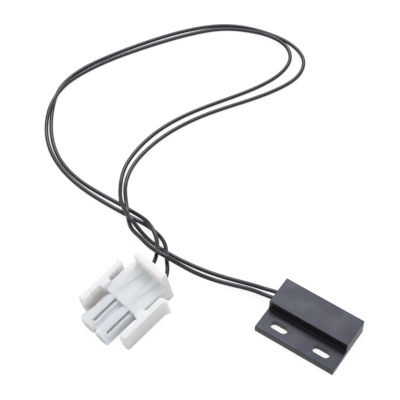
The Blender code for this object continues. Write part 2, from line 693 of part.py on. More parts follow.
def arm_outline(side):
    """Latch arm seen from above: hook in front, root at the body, thumb lever behind."""
    inner = ARM_OUTER - ARM_THICKNESS
    hook = inner - ARM_HOOK
    deep = BODY_WIDTH / 2 - OVERLAP
    barb = ARM_OUTER + ARM_BARB
    fillet = ARM_ROOT_FILLET
    tip = (ARM_OUTER - ARM_TIP_RADIUS, -ARM_FRONT + ARM_TIP_RADIUS)
    outline = [(barb, -ARM_REAR), (ARM_OUTER, -ARM_REAR - ARM_BARB_LENGTH)]
    outline += arc(tip, ARM_TIP_RADIUS, 0, -90, 4)
    outline += [
        (hook + ARM_TIP_CHAMFER, -ARM_FRONT),
        (hook, -ARM_FRONT + ARM_TIP_CHAMFER),
        (hook, -ARM_FRONT + ARM_HOOK_LENGTH),
        (inner, -ARM_FRONT + ARM_HOOK_LENGTH + ARM_HOOK),
        (inner, -ARM_ROOT_FRONT - fillet),
        (inner - fillet, -ARM_ROOT_FRONT),
        (deep, -ARM_ROOT_FRONT),
        (deep, -ARM_ROOT_REAR),
        (inner - fillet, -ARM_ROOT_REAR),
        (inner, -ARM_ROOT_REAR + fillet),
        (inner, -ARM_REAR - ARM_BARB),
        (barb - ARM_REAR_WIDTH, -ARM_REAR),
    ]
    return [(side * across, along) for across, along in outline]


def make_plug_housing(frame):
    """One nylon moulding: flange, body, two contact silos and two seesaw latch arms."""
    half_body = BODY_WIDTH / 2
    body = place(
        "plug_housing",
        box_mesh(
            (-half_body, -BODY_FRONT, -BODY_HEIGHT / 2),
            (half_body, -FLANGE_DEPTH + OVERLAP, BODY_HEIGHT / 2),
        ),
        NYLON,
        frame,
    )
    bevel(body, BODY_EDGE_RADIUS)
    flange = place(
        "plug_flange",
        box_mesh(
            (-FLANGE_WIDTH / 2, -FLANGE_DEPTH, -FLANGE_HEIGHT / 2),
            (FLANGE_WIDTH / 2, 0.0, FLANGE_HEIGHT / 2),
        ),
        None,
        frame,
    )
    bevel(flange, FLANGE_EDGE_RADIUS)
    combine(body, flange, "UNION")
    web_end = SILO_FRONT - SILO_WEB_SETBACK
    web = place(
        "silo_web",
        box_mesh(
            (-CONTACT_X, -web_end, -SILO_WEB_HEIGHT / 2),
            (CONTACT_X, -BODY_FRONT + OVERLAP, SILO_WEB_HEIGHT / 2),
        ),
        None,
        frame,
    )
    combine(body, web, "UNION")
    for side in (-1, 1):
        silo_profile = [
            (0.0, -BODY_FRONT + OVERLAP),
            (SILO_RADIUS, -BODY_FRONT + OVERLAP),
            (SILO_RADIUS, -SILO_FRONT + SILO_CHAMFER),
            (SILO_RADIUS - SILO_CHAMFER, -SILO_FRONT),
            (0.0, -SILO_FRONT),
        ]
        axis = Matrix.Translation((side * CONTACT_X, 0, 0)) @ ALONG_Y
        silo = turned("silo", silo_profile, axis, None, frame, steps=32)
        combine(body, silo, "UNION")
        combine(body, make_ridge(frame, side * CONTACT_X), "UNION")
        arm_mesh = extruded(arm_outline(side), ARM_HEIGHT)
        arm = place("latch_arm", arm_mesh, None, frame)
        bevel(arm, ARM_EDGE_RADIUS)
        combine(body, arm, "UNION")
    combine(body, make_key_rib(frame), "UNION")
    cut_arm_ends(body, frame)
    for side in (-1, 1):
        cut_circuit(body, frame, side * CONTACT_X)
    shade_round(body)
    return body


def make_key_rib(frame):
    """Pointed rib beside the first silo, so that the plug only enters one way round."""
    start = -BODY_FRONT + OVERLAP
    side = -CONTACT_X - SILO_RADIUS
    end = -SILO_FRONT + KEY_RIB_END_SETBACK
    outline = [
        (-CONTACT_X, start),
        (side, start),
        (side, -SILO_FRONT + KEY_RIB_TAPER),
        (-KEY_RIB_REACH, -SILO_FRONT + KEY_RIB_PEAK_SETBACK),
        (side, end),
        (-CONTACT_X, end),
    ]
    return place("key_rib", extruded(outline, KEY_RIB_HEIGHT), None, frame)


def make_ridge(frame, across):
    """Round ridge that runs down from the flange onto the body's top."""
    profile = [
        (0.0, OVERLAP),
        (RIDGE_RADIUS, OVERLAP),
        (RIDGE_RADIUS, -RIDGE_LENGTH - RIDGE_RADIUS),
        (0.0, -RIDGE_LENGTH - RIDGE_RADIUS),
    ]
    crest = BODY_HEIGHT / 2 + RIDGE_RISE
    start = Matrix.Translation((across, -FLANGE_DEPTH, crest - RIDGE_RADIUS))
    slope = Matrix.Rotation(math.asin(RIDGE_RISE / RIDGE_LENGTH), 4, "X")
    return turned("ridge", profile, start @ slope @ ALONG_Y, None, frame)


def cut_arm_ends(body, frame):
    """Round the upper and lower front corners of the latch arms."""
    half = ARM_HEIGHT / 2
    radius = ARM_END_RADIUS
    for up in (-1, 1):
        corner = arc((-ARM_FRONT + radius, half - radius), radius, 90, 180, 5)
        outline = corner + [
            (-ARM_FRONT - CUTTER_MARGIN, half - radius),
            (-ARM_FRONT - CUTTER_MARGIN, half + CUTTER_MARGIN),
            (-ARM_FRONT + radius, half + CUTTER_MARGIN),
        ]
        outline = [(along, up * height) for along, height in outline]
        reach = ARM_OUTER + ARM_BARB
        inner = ARM_OUTER - ARM_THICKNESS - ARM_HOOK - OVERLAP
        for side in (-1, 1):
            middle = Matrix.Translation((side * (reach + inner) / 2, 0, 0)) @ SIDE_VIEW
            corner_cutter = place("arm_corner", extruded(outline, reach - inner, middle), None, frame)
            combine(body, corner_cutter, "DIFFERENCE")


def cut_circuit(body, frame, across):
    """Stepped bore of one circuit, and the groove along the top of its silo."""
    far = SILO_FRONT + OVERLAP
    wall = SILO_FRONT - FRONT_WALL
    profile = [
        (0.0, OVERLAP),
        (REAR_BORE_RADIUS + REAR_BORE_CHAMFER + OVERLAP, OVERLAP),
        (REAR_BORE_RADIUS, -REAR_BORE_CHAMFER),
        (REAR_BORE_RADIUS, -SHOULDER_REAR),
        (SHOULDER_RADIUS, -SHOULDER_REAR - SHOULDER_RAMP),
        (SHOULDER_RADIUS, -SHOULDER_FRONT),
        (FRONT_BORE_RADIUS, -SHOULDER_FRONT),
        (FRONT_BORE_RADIUS, -wall),
        (ENTRY_RADIUS, -wall),
        (ENTRY_RADIUS, -SILO_FRONT + OVERLAP),
        (ENTRY_RADIUS + 2 * OVERLAP, -far),
        (0.0, -far),
    ]
    axis = Matrix.Translation((across, 0, 0)) @ ALONG_Y
    combine(body, turned("circuit_bore", profile, axis, None, frame, steps=32), "DIFFERENCE")
    middle = across + GROOVE_OFFSET
    groove = box_mesh(
        (middle - GROOVE_WIDTH / 2, -GROOVE_FRONT, SILO_RADIUS - GROOVE_DEPTH),
        (middle + GROOVE_WIDTH / 2, -BODY_FRONT - GROOVE_REAR_GAP, SILO_RADIUS + OVERLAP),
    )
    combine(body, place("silo_groove", groove, None, frame), "DIFFERENCE")


def make_contact(name, frame, across):
    """Crimp contact: split barrel, neck, core crimp and insulation crimp, with two lances."""
    sheath_bore = INSULATION_RADIUS + SHEATH_CRIMP_CLEARANCE
    core_bore = STRAND_RADIUS + STRAND_CLEARANCE
    outer = [
        (sheath_bore + SHEATH_CRIMP_WALL, -SHEATH_CRIMP_REAR),
        (sheath_bore + SHEATH_CRIMP_WALL, -SHEATH_CRIMP_FRONT),
        (CONTACT_NECK_RADIUS, -SHEATH_CRIMP_FRONT - NECK_SLOPE),
        (CONTACT_NECK_RADIUS, -CORE_CRIMP_REAR + CRIMP_SLOPE),
        (CORE_CRIMP_RADIUS, -CORE_CRIMP_REAR),
        (CORE_CRIMP_RADIUS, -CORE_CRIMP_FRONT),
        (CONTACT_NECK_RADIUS, -CORE_CRIMP_FRONT - CRIMP_SLOPE),
        (CONTACT_NECK_RADIUS, -BARREL_REAR + NECK_SLOPE),
        (CONTACT_BARREL_RADIUS, -BARREL_REAR),
        (CONTACT_BARREL_RADIUS, -CONTACT_FRONT),
    ]
    inner = [
        (CONTACT_BARREL_BORE, -CONTACT_FRONT),
        (CONTACT_BARREL_BORE, -BARREL_REAR - NECK_SLOPE),
        (core_bore, -BARREL_REAR),
        (core_bore, -SHEATH_CRIMP_FRONT - STRAND_END_GAP),
        (sheath_bore, -SHEATH_CRIMP_FRONT - STRAND_END_GAP),
        (sheath_bore, -SHEATH_CRIMP_REAR),
    ]
    axis = Matrix.Translation((across, 0, 0)) @ ALONG_Y
    contact = turned(name, outer + inner, axis, CONTACT_METAL, frame, closed=True, steps=20)
    lance_end = SHOULDER_FRONT + LANCE_GAP
    lance_foot = CONTACT_BARREL_RADIUS - LANCE_FOOT_DEPTH
    for side in (-1, 1):
        lance = [
            (lance_foot, -lance_end - LANCE_LENGTH),
            (LANCE_REACH, -lance_end),
            (LANCE_REACH - LANCE_THICKNESS, -lance_end),
            (lance_foot, -lance_end - LANCE_LENGTH + LANCE_FOOT_LENGTH),
        ]
        outline = [(across + side * reach, along) for reach, along in lance]
        tang = place("lance", extruded(outline, LANCE_WIDTH), None, frame)
        combine(contact, tang, "UNION")
    slit = box_mesh(
        (across - BARREL_SLIT_WIDTH / 2, -CONTACT_FRONT - OVERLAP, 0.0),
        (
            across + BARREL_SLIT_WIDTH / 2,
            -CONTACT_FRONT + BARREL_SLIT_LENGTH,
            CONTACT_BARREL_RADIUS + OVERLAP,
        ),
    )
    combine(contact, place("barrel_slit", slit, None, frame), "DIFFERENCE")
    shade_round(contact)
    return contact


def make_plug():
    """The plug lies nose down, on its flange's lower edge and its latch arms' lower corners."""
    frame = bpy.data.objects.new("plug_frame", None)
    PART.objects.link(frame)
    frame.matrix_world = PLUG_MATRIX
    make_plug_housing(frame)
    for name, across in (("a", CONTACT_X), ("b", -CONTACT_X)):
        make_contact("contact_" + name, frame, across)
        ends = [
            plug_point(across, SHEATH_CRIMP_FRONT + STRAND_END_GAP),
            plug_point(across, CORE_CRIMP_FRONT + STRAND_PAST_CRIMP),
        ]
        make_strands("plug_strands_" + name, ends)


def make_sensor():
    """Housing, resin and the reed switch inside."""
    make_housing()
    make_potting()
    make_glass()
    make_reed("reed_blade_near", -1)
    make_reed("reed_blade_far", 1)
    make_solder("solder_joint_near", -1)
    make_solder("solder_joint_far", 1)
    make_strands("sensor_strands_a", strand_ends(-1))
    make_strands("sensor_strands_b", strand_ends(1))


make_sensor()
make_wire("lead_wire_a", LEAD_A_POINTS)
make_wire("lead_wire_b", LEAD_B_POINTS)
make_plug()
bpy.context.view_layer.update()
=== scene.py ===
# %% [markdown]
# # Looks for a flange mount interlock switch
#
# A small black housing holds a reed switch under resin. Two thin leads run from it, in a
# loose loop, to a white two way plug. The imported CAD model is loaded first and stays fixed:
# this script only dresses it. Every length here is in metres, so sizes in millimetres are
# multiplied by MM.

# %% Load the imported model
import math

import bpy
import numpy as np
from mathutils import Matrix, Vector


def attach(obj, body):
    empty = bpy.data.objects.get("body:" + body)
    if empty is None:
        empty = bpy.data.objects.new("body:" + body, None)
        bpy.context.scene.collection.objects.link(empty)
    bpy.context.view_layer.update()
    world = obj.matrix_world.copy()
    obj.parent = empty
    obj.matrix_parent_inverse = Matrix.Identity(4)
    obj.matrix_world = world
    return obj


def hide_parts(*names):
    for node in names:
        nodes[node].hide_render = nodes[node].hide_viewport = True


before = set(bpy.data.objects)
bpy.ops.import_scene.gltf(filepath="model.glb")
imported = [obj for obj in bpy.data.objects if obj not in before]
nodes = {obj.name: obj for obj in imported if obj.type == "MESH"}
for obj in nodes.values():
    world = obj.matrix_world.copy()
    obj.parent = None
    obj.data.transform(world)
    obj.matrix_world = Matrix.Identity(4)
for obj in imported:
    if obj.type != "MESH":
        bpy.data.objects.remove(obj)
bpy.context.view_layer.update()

MM = 0.001

# %% [markdown]
# ## Camera
#
# A photograph fixes its camera if a few real sizes are known. The housing's corners gave the
# direction, the distance and the lens. The camera could be aimed with a Track To constraint,
# but three axes written out as a matrix say exactly where it looks, and keep the frame's
# shift at zero.

# %% Camera at the photograph's angle
CAMERA_TURN = math.radians(34.2)
CAMERA_RISE = math.radians(53.5)
CAMERA_DISTANCE = 394 * MM
FRAME_PIXELS = 400
FOCAL_PIXELS = 1245.04
ORIGIN_PIXEL = (308.6, 330.9)
SENSOR_WIDTH = 36.0

right = Vector((math.cos(CAMERA_TURN), math.sin(CAMERA_TURN), 0))
back = Vector((
    math.sin(CAMERA_TURN) * math.cos(CAMERA_RISE),
    -math.cos(CAMERA_TURN) * math.cos(CAMERA_RISE),
    math.sin(CAMERA_RISE),
))
up = back.cross(right)
pixel_size = CAMERA_DISTANCE / FOCAL_PIXELS
across = (ORIGIN_PIXEL[0] - FRAME_PIXELS / 2) * pixel_size
below = (ORIGIN_PIXEL[1] - FRAME_PIXELS / 2) * pixel_size
camera = bpy.data.objects.new("camera", bpy.data.cameras.new("camera"))
camera.data.sensor_width = SENSOR_WIDTH
camera.data.lens = SENSOR_WIDTH * FOCAL_PIXELS / FRAME_PIXELS
turn = Matrix((right, up, back)).transposed().to_4x4()
camera_place = back * CAMERA_DISTANCE - right * across + up * below
camera.matrix_world = Matrix.Translation(camera_place) @ turn
bpy.context.scene.collection.objects.link(camera)
bpy.context.scene.camera = camera
print("Lens", round(camera.data.lens, 1), "mm")
print("Camera at", [round(value / MM) for value in camera_place], "mm")

# %% [markdown]
# ## Small helpers
#
# A colour picked from a picture is an sRGB value, and Blender's sockets want linear light,
# so one function turns hex codes to linear. Another adds a node, sets its settings and feeds
# its sockets, from a plain value or from another node's output.

# %% Colour and node helpers


def linear_channel(value):
    """One sRGB channel as linear light, both from nought to one."""
    if value <= 0.04045:
        return value / 12.92
    return ((value + 0.055) / 1.055) ** 2.4


def linear(code):
    """An sRGB hex code as linear red, green, blue and alpha."""
    channels = [int(code[k:k + 2], 16) / 255 for k in (0, 2, 4)]
    return (*map(linear_channel, channels), 1.0)


def add_node(tree, kind, settings=None, feeds=None):
    """Add a node, set its own settings, and feed its sockets with values or other outputs."""
    node = tree.nodes.new(kind)
    for key, value in (settings or {}).items():
        setattr(node, key, value)
    for key, value in (feeds or {}).items():
        if isinstance(value, bpy.types.NodeSocket):
            tree.links.new(value, node.inputs[key])
        else:
            node.inputs[key].default_value = value
    return node


def per_metre(millimetres):
    """The scale that makes a pattern's features about this many millimetres wide."""
    return 1.0 / (millimetres * MM)


print("Charcoal in linear light:", [round(c, 3) for c in linear("3a3a40")])

# %% [markdown]
# ## Leads
#
# Each lead is a thin stranded wire in a soft black sheath. It leaves the resin, loops over
# the bench and enters the plug. Its length is known end to end, because the photograph shows
# all of it. The middle line comes from the CAD source: a natural cubic spline through a few
# traced points. A bezier curve with a bevel could draw it, but a small Geometry Nodes tree
# also stores where round and where along the sheath each vertex is, which the sheath's
# material needs for its extrusion lines.

# %% Where the leads run
LEAD_RADIUS = 0.7 * MM
EXIT_X, EXIT_Z = -14.285, 3.175
LEAD_A_Y, LEAD_B_Y = 4.865, 2.365
LEAD_A_START = [(x, LEAD_A_Y, EXIT_Z) for x in (-8.9, -11.6, EXIT_X)]
LEAD_B_START = [(x, LEAD_B_Y, EXIT_Z) for x in (6.1, -4.0925, EXIT_X)]
LEAD_A_FREE = [
    (-18.0, 4.2, 2.9), (-23.5, 3.4, 1.9), (-30.3, 2.0, 1.0), (-39.6, 0.0, 0.7),
    (-48.8, -1.0, 0.7), (-56.9, -1.0, 0.7), (-62.1, -0.5, 1.2), (-65.7, 0.0, 2.8),
    (-69.4, 0.9, 4.4), (-73.2, 2.7, 4.1), (-77.9, 6.1, 3.0), (-82.0, 11.0, 1.4),
    (-86.3, 19.2, 0.7), (-87.6, 27.5, 0.7), (-86.3, 40.6, 0.7), (-80.9, 54.7, 0.7),
    (-72.9, 68.8, 0.7), (-66.9, 80.9, 0.7), (-65.0, 89.6, 0.7), (-66.4, 96.2, 0.7),
    (-70.6, 100.0, 0.9), (-77.1, 100.5, 1.6), (-85.3, 99.3, 0.9), (-94.5, 94.8, 0.7),
    (-103.9, 85.1, 0.7), (-115.1, 68.3, 0.7), (-123.6, 51.7, 0.7), (-126.3, 41.4, 1.3),
    (-125.8, 32.6, 2.5), (-123.8, 25.0, 2.1), (-119.5, 17.7, 0.8), (-110.1, 9.7, 0.7),
    (-96.7, 4.9, 0.7), (-81.1, 3.7, 0.7), (-70.8, 3.9, 0.7), (-64.5, 3.9, 0.7),
    (-59.5, 2.5, 1.5), (-54.9, -0.6, 3.2), (-51.3, -5.0, 4.3), (-48.0, -9.2, 5.5),
]
LEAD_B_FREE = [
    (-17.8, 2.0, 2.9), (-23.1, 1.6, 1.9), (-29.1, 0.1, 1.3), (-35.5, -2.0, 1.7),
    (-42.0, -3.9, 3.3), (-47.6, -5.3, 5.7), (-52.3, -5.8, 6.7), (-57.8, -5.2, 6.0),
    (-63.3, -3.2, 4.6), (-68.8, -0.8, 3.0), (-72.9, 3.0, 2.4), (-77.0, 7.6, 2.1),
    (-80.7, 12.1, 1.2), (-84.0, 19.1, 0.7), (-84.9, 28.9, 0.7), (-82.4, 42.5, 0.7),
    (-75.9, 57.0, 0.7), (-67.5, 70.3, 0.7), (-61.2, 82.1, 0.7), (-59.2, 90.7, 0.7),
    (-61.7, 97.9, 0.7), (-68.6, 101.8, 0.7), (-78.1, 102.2, 0.7), (-94.5, 96.9, 0.7),
    (-104.0, 88.5, 0.7), (-114.4, 73.7, 0.7), (-123.2, 57.3, 0.7), (-127.4, 45.7, 0.7),
    (-127.7, 35.9, 0.7), (-123.6, 26.4, 0.7), (-117.5, 18.0, 0.7), (-108.1, 10.4, 0.7),
    (-96.6, 6.6, 0.7), (-82.7, 6.0, 0.7), (-71.8, 5.8, 1.0), (-64.7, 3.9, 2.7),
    (-59.8, 0.8, 3.1), (-56.5, -2.9, 4.0), (-54.2, -6.8, 5.2), (-52.9, -10.0, 6.4),
]
PLUG_PLACE = Vector((-48.97, -13.5, 8.4847)) * MM
PLUG_TURN = math.radians(-11.6)
PLUG_TILT = math.radians(10.7633)
PLUG_POSE = (
    Matrix.Translation(PLUG_PLACE)
    @ Matrix.Rotation(PLUG_TURN, 4, "Z")
    @ Matrix.Rotation(PLUG_TILT, 4, "X")
)
CIRCUIT_SIDE = 3.175
HOLE_ENTRY, HOLE_SAG = 1.2, -0.9
CRIMP_STEPS = (4.3, 5.1, 8.3)
STRAND_STEPS = (8.4, 13.0)


def plug_point(right_mm, forward_mm, up_mm=0.0):
    """A place in the plug's own directions, as a place in the part."""
    return PLUG_POSE @ (Vector((right_mm, -forward_mm, up_mm)) * MM)


def lead_line(start, free, circuit):
    """Every point that a lead's middle line passes, in metres."""
    placed = [Vector(point) * MM for point in start + free]
    placed.append(plug_point(circuit, HOLE_ENTRY, HOLE_SAG))
    return placed + [plug_point(circuit, forward) for forward in CRIMP_STEPS]


LEAD_A_LINE = lead_line(LEAD_A_START, LEAD_A_FREE, CIRCUIT_SIDE)
LEAD_B_LINE = lead_line(LEAD_B_START, LEAD_B_FREE, -CIRCUIT_SIDE)
print("Lead points:", len(LEAD_A_LINE), "and", len(LEAD_B_LINE))

# %% [markdown]
# A natural cubic spline bends as a springy wire does between the points that hold it. It is
# solved here for all points at once, then sampled evenly. Where it would dip into the bench
# it is held up by the sheath's own radius.

# %% Smooth the middle lines


def smooth_line(points, spacing):
    """Samples of the natural cubic spline through the points, about a spacing apart."""
    places = np.array(points, dtype=float)
    spans = np.linalg.norm(np.diff(places, axis=0), axis=1)
    stations = np.concatenate(([0.0], np.cumsum(spans)))
    count = len(places)
    system, bend = np.eye(count), np.zeros((count, 3))
    for k in range(1, count - 1):
        system[k, k - 1:k + 2] = (spans[k - 1], 2 * (spans[k - 1] + spans[k]), spans[k])
        slope_after = (places[k + 1] - places[k]) / spans[k]
        slope_before = (places[k] - places[k - 1]) / spans[k - 1]
        bend[k] = 6 * (slope_after - slope_before)
    curvature = np.linalg.solve(system, bend)
    samples = np.linspace(0.0, stations[-1], int(stations[-1] / spacing))
    index = np.clip(np.searchsorted(stations, samples, side="right") - 1, 0, count - 2)
    span = spans[index][:, None]
    left = stations[index + 1][:, None] - samples[:, None]
    done = samples[:, None] - stations[index][:, None]
    line = (curvature[index] * left**3 + curvature[index + 1] * done**3) / (6 * span)
    line += (places[index] / span - curvature[index] * span / 6) * left
    line += (places[index + 1] / span - curvature[index + 1] * span / 6) * done
    line[:, 2] = np.maximum(line[:, 2], LEAD_RADIUS)
    return line


SAMPLE_SPACING = 0.8 * MM
LEAD_A_PATH = smooth_line(LEAD_A_LINE, SAMPLE_SPACING)
LEAD_B_PATH = smooth_line(LEAD_B_LINE, SAMPLE_SPACING)
for path in (LEAD_A_PATH, LEAD_B_PATH):
    steps = np.linalg.norm(np.diff(path, axis=0), axis=1)
    print("Lead length", round(steps.sum() / MM, 1), "mm in", len(path), "samples")

# %% [markdown]
# The tree below makes a sheath from any path. The profile circle stores its own unit
# direction as the attribute "rim" and the path stores the distance run as "along". Both ride
# through Curve to Mesh onto the tube, so a pattern can follow the sheath round and along
# without a seam. The tree ends in Realize Instances and Set Material, so that the result is
# plain mesh with its finish on.

# %% Node tree for a sheath that follows a path


def new_tree(name, sizes):
    """A Geometry Nodes tree with a geometry input, a material input and named sizes."""
    tree = bpy.data.node_groups.new(name, "GeometryNodeTree")
    tree.interface.new_socket("Geometry", in_out="OUTPUT", socket_type="NodeSocketGeometry")
    tree.interface.new_socket("Geometry", in_out="INPUT", socket_type="NodeSocketGeometry")
    for label, kind in sizes.items():
        tree.interface.new_socket(label, in_out="INPUT", socket_type=kind)
    tree.interface.new_socket("Finish", in_out="INPUT", socket_type="NodeSocketMaterial")
    return tree, tree.nodes.new("NodeGroupInput"), tree.nodes.new("NodeGroupOutput")


def finish_tree(tree, given, result, path, profile):
    """Run the profile along the path as smooth plain mesh, with the finish on."""
    tube = add_node(tree, "GeometryNodeCurveToMesh", None, {
        "Curve": path.outputs[0], "Profile Curve": profile.outputs[0], "Fill Caps": True,
    })
    smooth = add_node(tree, "GeometryNodeSetShadeSmooth", None, {0: tube.outputs[0]})
    real = add_node(tree, "GeometryNodeRealizeInstances", None, {0: smooth.outputs[0]})
    dressed = add_node(tree, "GeometryNodeSetMaterial", None, {
        "Geometry": real.outputs[0], "Material": given.outputs["Finish"],
    })
    tree.links.new(dressed.outputs[0], result.inputs[0])
    return tree


def sheath_tree():
    """A round tube along each curve, with its place round and along kept as attributes."""
    sizes = {"Radius": "NodeSocketFloat", "Sides": "NodeSocketInt"}
    tree, given, result = new_tree("sheath_along_path", sizes)
    parameter = add_node(tree, "GeometryNodeSplineParameter")
    path = add_node(tree, "GeometryNodeStoreNamedAttribute", {"data_type": "FLOAT"}, {
        "Geometry": given.outputs["Geometry"], "Name": "along",
        "Value": parameter.outputs["Length"],
    })
    circle = add_node(tree, "GeometryNodeCurvePrimitiveCircle", {"mode": "RADIUS"}, {
        "Resolution": given.outputs["Sides"], "Radius": given.outputs["Radius"],
    })
    where = add_node(tree, "GeometryNodeInputPosition")
    unit = add_node(tree, "ShaderNodeVectorMath", {"operation": "NORMALIZE"}, {
        0: where.outputs[0],
    })
    profile = add_node(tree, "GeometryNodeStoreNamedAttribute", {"data_type": "FLOAT_VECTOR"}, {
        "Geometry": circle.outputs["Curve"], "Name": "rim", "Value": unit.outputs[0],
    })
    return finish_tree(tree, given, result, path, profile)


SHEATH = sheath_tree()
print("Sheath tree has", len(SHEATH.nodes), "nodes")

# %% [markdown]
# A modifier's inputs are set by their identifiers, before the object is first evaluated.
# The result is copied out as a plain mesh, and the path with its modifier is thrown away.

# %% Run a tree on a path


def path_object(name, points):
    """A curve object of one open spline with straight steps."""
    curve = bpy.data.curves.new(name, "CURVE")
    curve.dimensions = "3D"
    spline = curve.splines.new("POLY")
    spline.points.add(len(points) - 1)
    for point, place in zip(spline.points, points):
        point.co = (*place, 1.0)
    made = bpy.data.objects.new(name, curve)
    bpy.context.scene.collection.objects.link(made)
    return made


def grow(name, source, tree, sizes):
    """The plain mesh object that a tree makes of a source object, which is then removed."""
    step = source.modifiers.new("Grow", "NODES")
    step.node_group = tree
    for item in tree.interface.items_tree:
        if item.in_out == "INPUT" and item.name in sizes:
            step[item.identifier] = sizes[item.name]
    depsgraph = bpy.context.evaluated_depsgraph_get()
    mesh = bpy.data.meshes.new_from_object(source.evaluated_get(depsgraph), depsgraph=depsgraph)
    bpy.data.objects.remove(source)
    mesh.name = name
    made = bpy.data.objects.new(name, mesh)
    bpy.context.scene.collection.objects.link(made)
    return made


print("Helpers for paths and trees are ready")

# %% [markdown]
# ## Sheath material
#
# The leads' insulation is soft PVC, extruded over the strands. The eye gets a dark charcoal
# with a narrow greyish highlight, broken by very fine lines along the wire, where the die
# dragged. Real lines are some hundredths of a millimetre apart, and are drawn about 0.2 mm
# apart, the finest that shows. The pattern lives in a space where one turn round the sheath
# is about six units and a metre along it is only twelve, which draws the lines out.
#
# A Mix node has its colour sockets beside those for numbers and vectors, under the same
# names, so they are reached by their places in the list.

# %% Extruded PVC
COLOUR_A, COLOUR_B, MIXED_COLOUR = 6, 7, 2
LINE_DRIFT = 12.0
LINE_SCALE = 3.3


def new_material(name, values):
    """A material with one Principled shader, whose plain values are set on its own sockets."""
    made = bpy.data.materials.new(name)
    made.use_nodes = True
    tree = made.node_tree
    tree.nodes.clear()
    shader = add_node(tree, "ShaderNodeBsdfPrincipled", None, values)
    add_node(tree, "ShaderNodeOutputMaterial", None, {"Surface": shader.outputs[0]})
    return made, tree, shader


def tone(tree, factor, first, second):
    """A colour between two hex codes, by a factor output."""
    mix = add_node(tree, "ShaderNodeMix", {"data_type": "RGBA"}, {
        0: factor, COLOUR_A: linear(first), COLOUR_B: linear(second),
    })
    return mix.outputs[MIXED_COLOUR]


def spread(tree, factor, low, high, source=(0.0, 1.0)):
    """A number that runs from low to high as the factor crosses its source range."""
    mapped = add_node(tree, "ShaderNodeMapRange", None, {
        "Value": factor, "From Min": source[0], "From Max": source[1],
        "To Min": low, "To Max": high,
    })
    return mapped.outputs[0]


def relief(tree, shader, height, strength, depth):
    """Raise the surface by a height output, this many millimetres at most."""
    bump = add_node(tree, "ShaderNodeBump", None, {
        "Strength": strength, "Distance": depth * MM, "Height": height,
    })
    tree.links.new(bump.outputs[0], shader.inputs["Normal"])


def extruded_pvc():
    """Black PVC insulation with extrusion lines."""
    made, tree, shader = new_material("extruded_pvc_black", {
        "IOR": 1.52, "Specular Tint": linear("f6f2ff"),
    })
    rim = add_node(tree, "ShaderNodeAttribute", {"attribute_name": "rim"})
    along = add_node(tree, "ShaderNodeAttribute", {"attribute_name": "along"})
    slow = add_node(tree, "ShaderNodeMath", {"operation": "MULTIPLY"}, {
        0: along.outputs["Fac"], 1: LINE_DRIFT,
    })
    lift = add_node(tree, "ShaderNodeCombineXYZ", None, {"Z": slow.outputs[0]})
    where = add_node(tree, "ShaderNodeVectorMath", {"operation": "ADD"}, {
        0: rim.outputs["Vector"], 1: lift.outputs[0],
    })
    lines = add_node(tree, "ShaderNodeTexNoise", None, {
        "Vector": where.outputs[0], "Scale": LINE_SCALE, "Detail": 3.0, "Roughness": 0.6,
    })
    colour = tone(tree, lines.outputs[0], "0b0b0d", "131216")
    tree.links.new(colour, shader.inputs["Base Color"])
    gloss = spread(tree, lines.outputs[0], low=0.15, high=0.23)
    tree.links.new(gloss, shader.inputs["Roughness"])
    relief(tree, shader, lines.outputs[0], strength=0.1, depth=0.005)
    return made


PVC = extruded_pvc()
print("Made", PVC.name)

# %% [markdown]
# Both leads replace their plain CAD tubes. They run 385 mm and 404 mm between their
# stripped ends.

# %% The two leads
SHEATH_SIDES = 20
SHEATH_SIZES = {"Radius": LEAD_RADIUS, "Sides": SHEATH_SIDES, "Finish": PVC}
lead_a = grow("lead_a", path_object("lead_a_path", LEAD_A_PATH), SHEATH, SHEATH_SIZES)
lead_b = grow("lead_b", path_object("lead_b_path", LEAD_B_PATH), SHEATH, SHEATH_SIZES)
for lead, node in ((lead_a, "lead_wire_a"), (lead_b, "lead_wire_b")):
    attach(lead, "switch")
    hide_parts(node)
    print(lead.name, "has", len(lead.data.polygons), "faces")

# %% [markdown]
# Bright metals here share one function: noise stretched along the way the metal was drawn or
# rolled changes its colour, its gloss and its height a little. The conductors are tinned
# copper, so their silver has a warm tinge.

# %% Tinned copper
SMOOTHER, ROUGHER = 0.08, 0.1


def object_space(tree):
    """The coordinates of the piece itself, in metres."""
    return add_node(tree, "ShaderNodeTexCoord").outputs["Object"]


def noise(tree, width, detail=2.0, rough=0.5, stretch=(1, 1, 1)):
    """Cloudy noise with features of a given width in millimetres."""
    placed = add_node(tree, "ShaderNodeMapping", None, {
        "Vector": object_space(tree), "Scale": stretch,
    })
    made = add_node(tree, "ShaderNodeTexNoise", None, {
        "Vector": placed.outputs[0], "Scale": per_metre(width),
        "Detail": detail, "Roughness": rough,
    })
    return made.outputs[0]


def plated_metal(name, dark, bright, lines_width, stretch, roughness):
    """A bright metal whose lines run along one way."""
    made, tree, shader = new_material(name, {"Metallic": 1.0})
    lines = noise(tree, lines_width, detail=3.0, rough=0.6, stretch=stretch)
    tree.links.new(tone(tree, lines, dark, bright), shader.inputs["Base Color"])
    gloss = spread(tree, lines, roughness - SMOOTHER, roughness + ROUGHER)
    tree.links.new(gloss, shader.inputs["Roughness"])
    relief(tree, shader, lines, strength=0.3, depth=0.01)
    return made


TINNED_COPPER = plated_metal(
    "tinned_copper", dark="c9bfb2", bright="d8cfc4",
    lines_width=0.1, stretch=(0.2, 1, 1), roughness=0.34,
)
print("Made", TINNED_COPPER.name)

# %% [markdown]
# The bare ends of the conductors are stranded: six thin wires twist round a seventh. The
# profile is seven small circles, which are instances on the points of a wider circle and on
# one point in its middle. That wider circle is a little over two wire radii, so that no wire
# cuts another. A tilt that grows along the path twists them, one turn per lay.

# %% Node tree for twisted strands
OUTER_WIRES = 6
RING_SHARE = 2.04
WIRE_SIDES = 12


